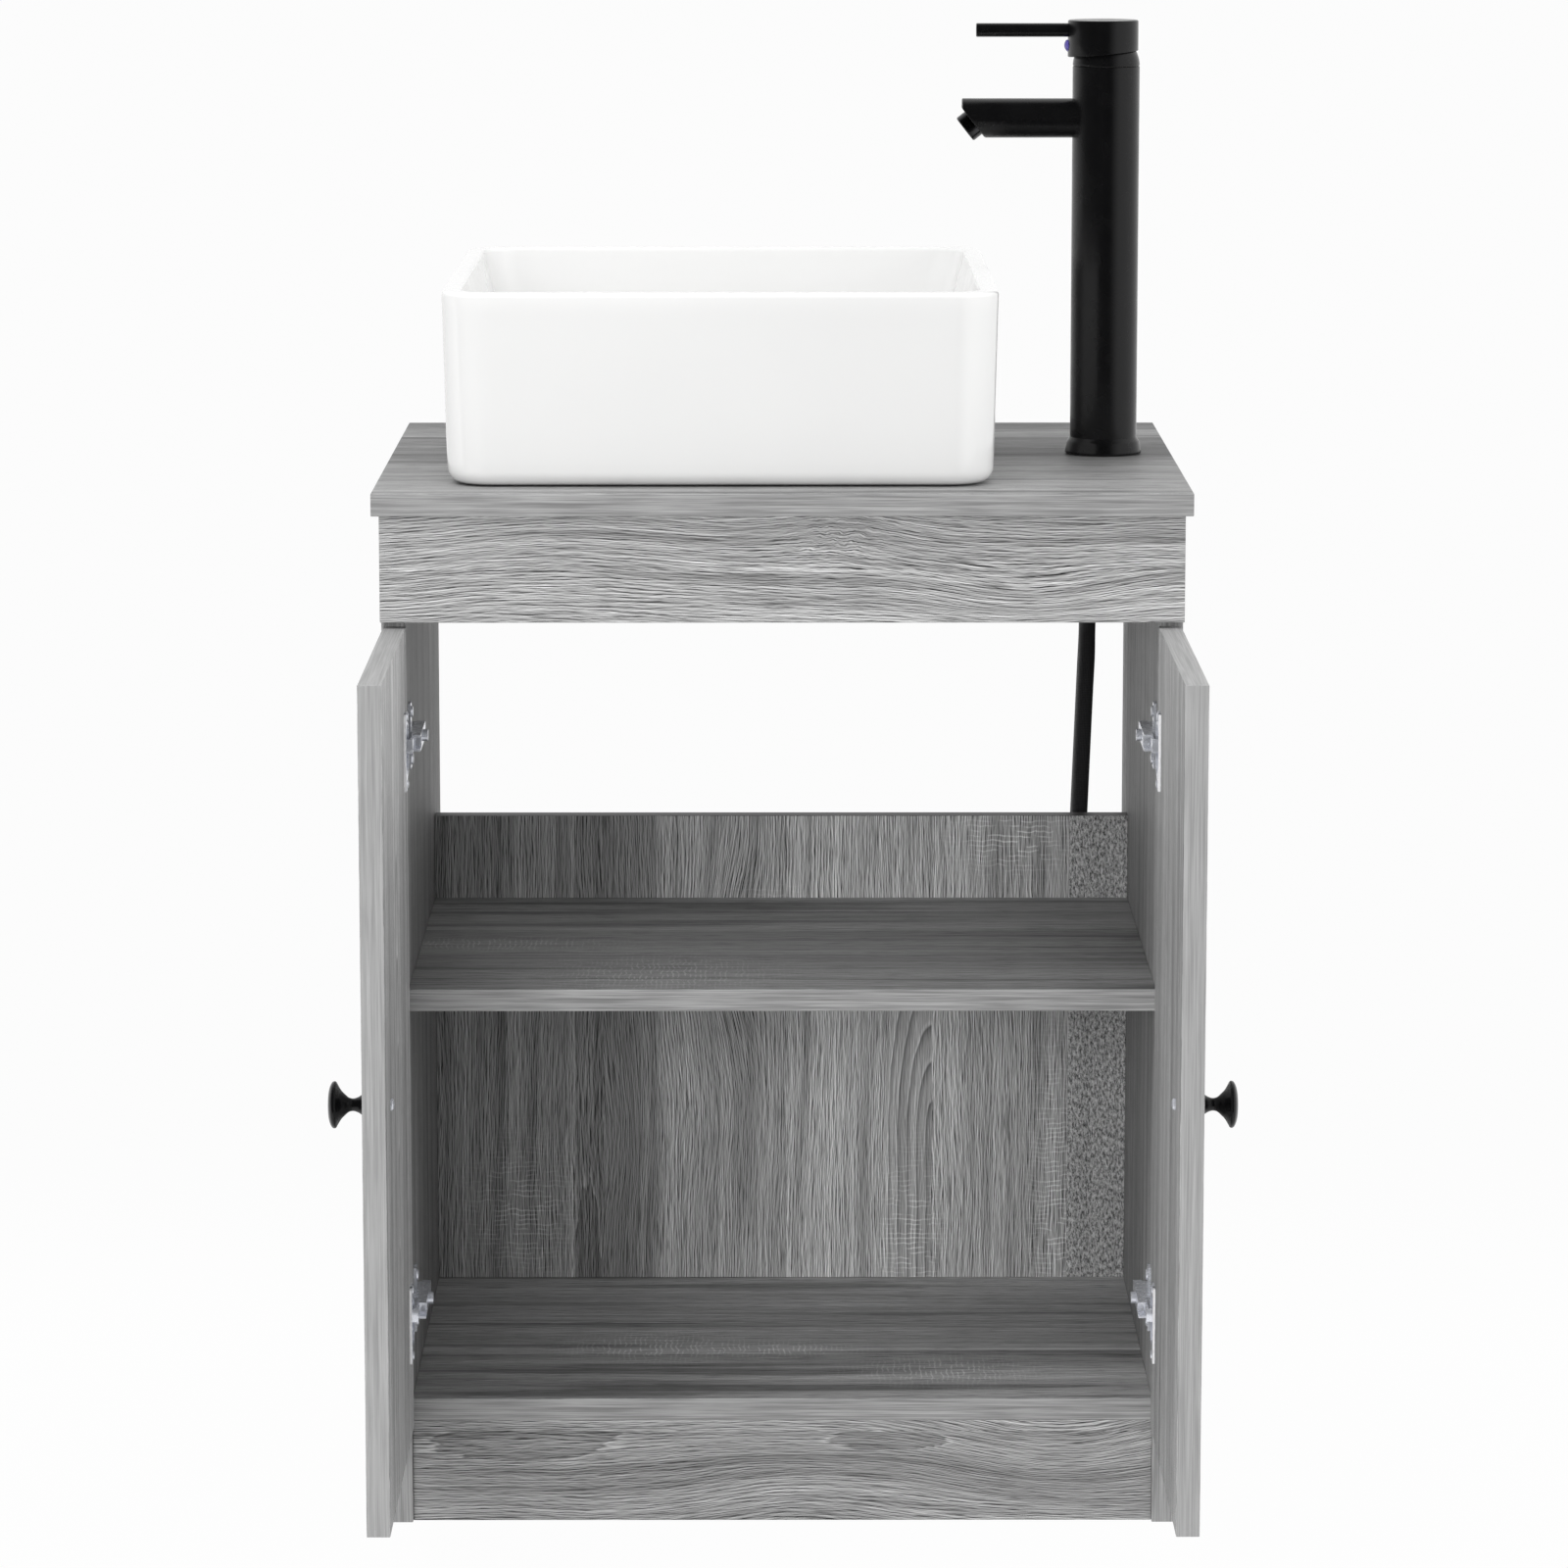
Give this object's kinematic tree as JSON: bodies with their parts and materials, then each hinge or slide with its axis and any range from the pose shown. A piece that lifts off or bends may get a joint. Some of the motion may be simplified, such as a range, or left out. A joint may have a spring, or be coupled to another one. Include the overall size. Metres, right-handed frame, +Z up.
{
  "type": "vanity unit",
  "caption": "Floor-standing two-door washbasin cabinet in grey wood with a white vessel basin and a tall black single-lever tap.",
  "frame": {"origin": "on the floor, mid width, under the middle of the plinth board's thickness", "axes": "+Z up, +Y from the doors towards the wall, +X to the right for someone facing the doors"},
  "size_m": [0.576, 0.6853, 1.0015],
  "materials": {
    "grey_wood": "grey-washed oak foil, satin",
    "beech": "raw",
    "nickel": "nickel plated",
    "zinc": "zinc plated",
    "chrome": "polished",
    "dark_chrome": "black chrome",
    "black_metal": "matt black",
    "black_knob": "satin black",
    "ceramic": "glossy white glaze",
    "rubber": "matt",
    "hose": "black braid",
    "plastic": "matt",
    "brass": "plain",
    "indicator": "gloss"
  },
  "bodies": {
    "cabinet": {"countertop": "grey_wood", "side_left": "grey_wood", "side_right": "grey_wood", "floor_panel": "grey_wood", "plinth_board": "grey_wood", "apron_board": "grey_wood", "middle_shelf": "grey_wood", "back_panel": "grey_wood", "rear_rail": "grey_wood", "dowels": "beech", "cam_locks": "zinc", "cam_bolts": "zinc", "hinge_arms_left": "nickel", "hinge_arms_right": "nickel", "hinge_plates": "nickel", "plate_screws": "nickel", "adjusting_screws": "nickel", "basin": "ceramic", "waste_flange": "chrome", "waste_body": "zinc", "waste_gasket": "rubber", "waste_nut": "zinc", "tap_body": "black_metal", "tap_base_ring": "black_metal", "tap_gasket": "rubber", "spout": "black_metal", "aerator": "dark_chrome", "tap_dome": "black_metal", "cartridge": "plastic", "cartridge_nut": "brass", "mounting_stud": "zinc", "clamp_washer": "zinc", "mounting_nut": "nickel", "hose_hot": "hose", "hose_cold": "hose", "hose_sleeves": "nickel", "hose_nuts": "nickel"},
    "left_door": {"door_left": "grey_wood", "knob_left": "black_knob", "knob_screw_left": "nickel", "hinge_cups_left": "nickel", "cup_screws_left": "nickel", "hinge_pins_left": "nickel"},
    "right_door": {"door_right": "grey_wood", "knob_right": "black_knob", "knob_screw_right": "nickel", "hinge_cups_right": "nickel", "cup_screws_right": "nickel", "hinge_pins_right": "nickel"},
    "tap_spindle": {"spindle": "zinc", "stem_pin": "zinc"},
    "tap_handle": {"lever_stem": "zinc", "tap_head": "black_metal", "lever_rod": "black_metal", "indicator": "indicator", "grub_screw": "zinc"},
    "waste_cap": {"waste_cap": "chrome"}
  },
  "joints": [
    {"name": "left_door_hinge", "type": "hinge", "parent": "cabinet", "child": "left_door", "pos_m": [-0.256, -0.0233, 0.3405], "axis": [0, 0, 1], "range_deg": [-5, 90]},
    {"name": "right_door_hinge", "type": "hinge", "parent": "cabinet", "child": "right_door", "pos_m": [0.256, -0.0233, 0.3405], "axis": [0, 0, -1], "range_deg": [-5, 90]},
    {"name": "tap_swivel", "type": "hinge", "parent": "cabinet", "child": "tap_spindle", "pos_m": [0.223, 0.208, 0.97], "axis": [0, 0, 1], "range_deg": [-45, 45]},
    {"name": "lever_lift", "type": "hinge", "parent": "tap_spindle", "child": "tap_handle", "pos_m": [0.223, 0.208, 0.97], "axis": [0, 1, 0], "range_deg": [0, 25]},
    {"name": "waste_cap_lift", "type": "slide", "parent": "cabinet", "child": "waste_cap", "axis": [0, 0, 1], "range_m": [0, 0.008]}
  ]
}
